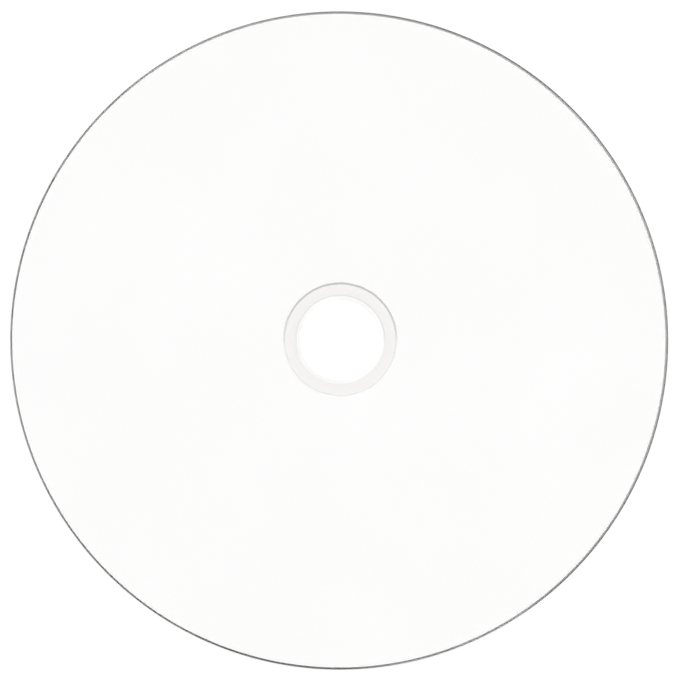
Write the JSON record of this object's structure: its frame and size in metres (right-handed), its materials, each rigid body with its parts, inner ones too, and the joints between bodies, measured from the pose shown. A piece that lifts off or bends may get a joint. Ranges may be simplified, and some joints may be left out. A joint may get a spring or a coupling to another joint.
{
  "type": "recordable optical disc",
  "caption": "Recordable optical disc for a blue laser: clear moulded disc with a white printable label side, a dark mirror read side and a round centre hole.",
  "frame": {"origin": "on the disc's axis, in the plane of the stacking ring's foot, on which the disc rests", "axes": "+Z along the disc's axis, towards the printable label side; the disc is round, so X and Y are any two directions square to it"},
  "size_m": [0.12, 0.12, 0.0013],
  "materials": {
    "clear_polycarbonate": "gloss",
    "recording_film": "polished",
    "cover_resin": "gloss",
    "printable_coat": "matte"
  },
  "bodies": {
    "root": {"substrate": "clear_polycarbonate", "recording_film": "recording_film", "cover_layer": "cover_resin", "printable_coat": "printable_coat"}
  },
  "joints": []
}
